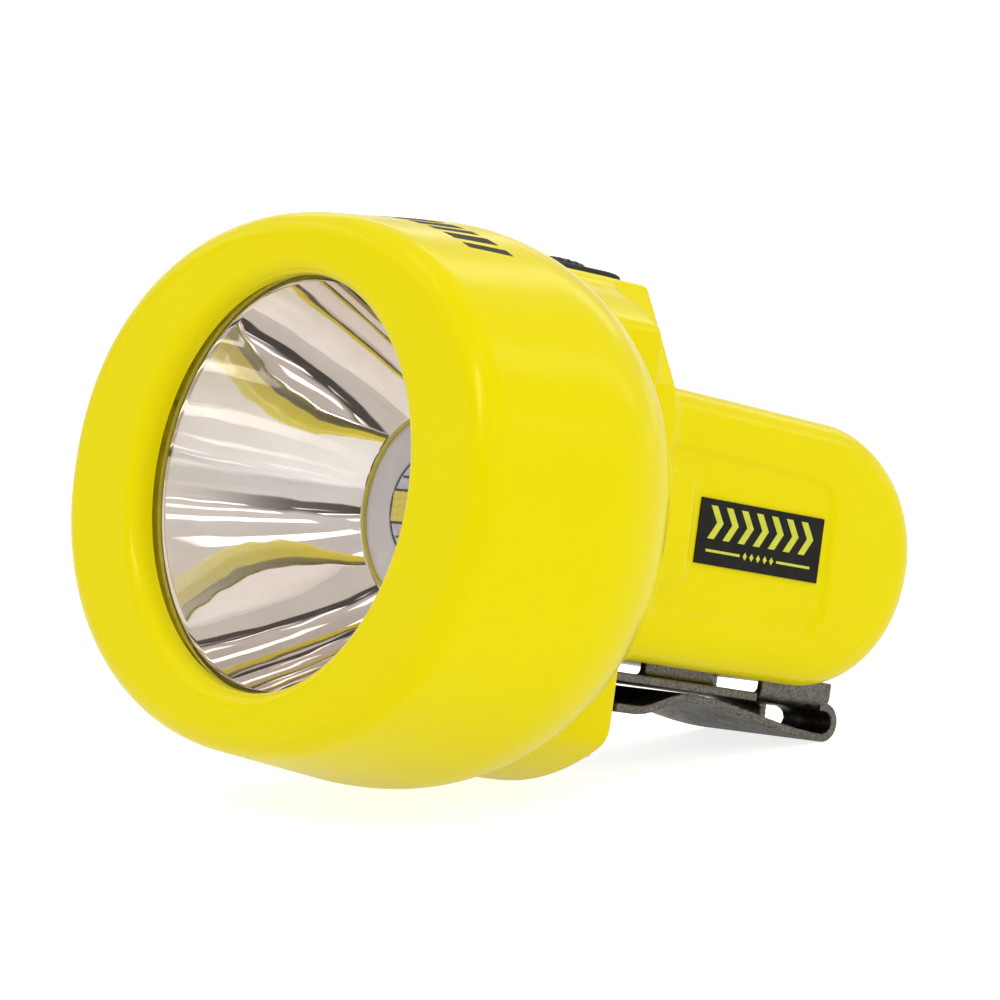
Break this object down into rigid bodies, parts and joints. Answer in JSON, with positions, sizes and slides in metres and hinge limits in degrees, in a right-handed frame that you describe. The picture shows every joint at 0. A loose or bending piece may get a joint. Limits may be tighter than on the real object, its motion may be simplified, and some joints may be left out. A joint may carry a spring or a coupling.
{
  "type": "firefighter flashlight",
  "caption": "Compact clip-on flashlight with an oval head, round lens, deep reflector, top push switch, battery housing and spring steel clip.",
  "frame": {"origin": "centre of the round lens opening, where its straight wall begins", "axes": "the beam points along -Y, the tail is towards +Y, the push switch is on top at +Z and the clip is below at -Z"},
  "size_m": [0.093, 0.107, 0.077],
  "materials": {
    "yellow_shell": "fluorescent yellow moulding, satin gloss",
    "clear_lens": "clear polished polycarbonate",
    "black_rubber": "matt black rubber",
    "seal_silicone": "tinted silicone, olive yellow",
    "black_plastic": "matt black moulding",
    "reflector_chrome": "bright metallised bowl",
    "white_board": "white solder mask",
    "led_body": "pale round package",
    "led_phosphor": "broad yellow phosphor strip",
    "bare_aluminium": "turned",
    "plated_steel": "bright plated",
    "green_board": "green solder mask",
    "brass_contact": "plated contact",
    "label": "printed black label",
    "cell_jacket": "printed jacket",
    "clip_steel": "tempered spring steel, dull grey"
  },
  "bodies": {
    "housing": {"neck": "yellow_shell", "collar": "yellow_shell", "housing": "yellow_shell", "neck_seal": "black_rubber", "side_labels": "label", "switch_frame": "black_rubber", "switch_spring": "plated_steel", "micro_switch": "black_plastic", "switch_board": "green_board", "board_screws": "plated_steel", "battery_carrier": "black_plastic", "cell_1": "cell_jacket", "cell_2": "cell_jacket", "cell_3": "cell_jacket", "cell_4": "cell_jacket", "contact_plates": "plated_steel", "contact_springs": "plated_steel", "contact_buttons": "brass_contact", "clip_base": "clip_steel"},
    "head": {"bezel": "yellow_shell", "lens_ring": "yellow_shell", "lens": "clear_lens", "lens_seal": "seal_silicone", "lens_retainer": "black_plastic", "reflector": "reflector_chrome", "led_board": "white_board", "led_package": "led_body", "led_chip": "led_phosphor", "heat_sink": "bare_aluminium", "lamp_leads": "brass_contact", "lamp_screws": "plated_steel", "driver_board": "green_board", "driver_parts": "black_plastic", "terminal_pads": "brass_contact"},
    "button": {"switch_button": "black_rubber", "switch_actuator": "white_board"},
    "leaf": {"clip_leaf": "clip_steel"}
  },
  "joints": [
    {"name": "head_twist", "type": "hinge", "parent": "housing", "child": "head", "pos_m": [0, 0.0282, 0], "axis": [0, 1, 0], "range_deg": [0, 30]},
    {"name": "button_press", "type": "slide", "parent": "housing", "child": "button", "axis": [0, 0, -1], "range_m": [0, 0.0012], "stiffness_N_per_m": 1500, "springref_m": -0.0012, "deforming": ["switch_spring"]},
    {"name": "clip_open", "type": "hinge", "parent": "housing", "child": "leaf", "pos_m": [0, 0.0949, -0.021], "axis": [1, 0, 0], "range_deg": [0, 12], "stiffness_Nm_per_rad": 1.3, "springref_deg": -5.73}
  ]
}
